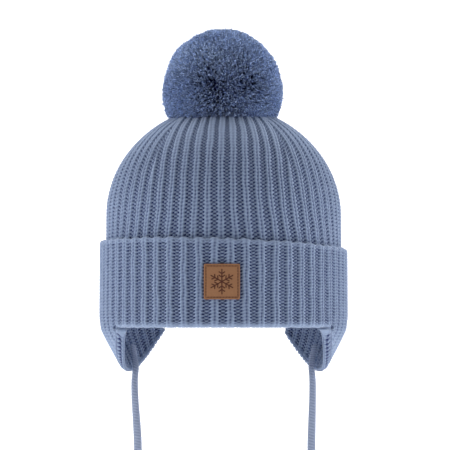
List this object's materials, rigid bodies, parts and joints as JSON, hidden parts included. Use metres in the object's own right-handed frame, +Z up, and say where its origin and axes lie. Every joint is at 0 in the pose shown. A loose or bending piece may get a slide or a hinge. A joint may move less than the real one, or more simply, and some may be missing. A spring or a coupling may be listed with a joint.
{
  "type": "child's knitted hat with ear flaps and ties",
  "caption": "Ribbed knitted hat with a turned-up cuff, a pompom, a leather patch on the cuff, and ear flaps that end in hanging ties.",
  "frame": {"origin": "centre of the head opening, at the level of the cuff's lower fold", "axes": "+Z up through the crown, -Y towards the front with the patch, +X towards the side on the right of the picture"},
  "size_m": [0.161, 0.1745, 0.2857],
  "materials": {
    "knit_wool": "soft rib-knitted wool yarn, dusty blue, matt",
    "pompom_yarn": "dense cut wool yarn, denim blue, matt",
    "patch_leather": "smooth tan leather with a burned line drawing, stitched round its edge",
    "tie_cord": "flat knitted wool cord, matt"
  },
  "bodies": {
    "root": {"crown": "knit_wool", "cuff": "knit_wool", "ear_flap_left": "knit_wool", "ear_flap_right": "knit_wool", "pompom": "pompom_yarn", "patch": "patch_leather", "tie_left": "tie_cord", "tie_right": "tie_cord", "tie_knot_left": "tie_cord", "tie_knot_right": "tie_cord"}
  },
  "joints": []
}
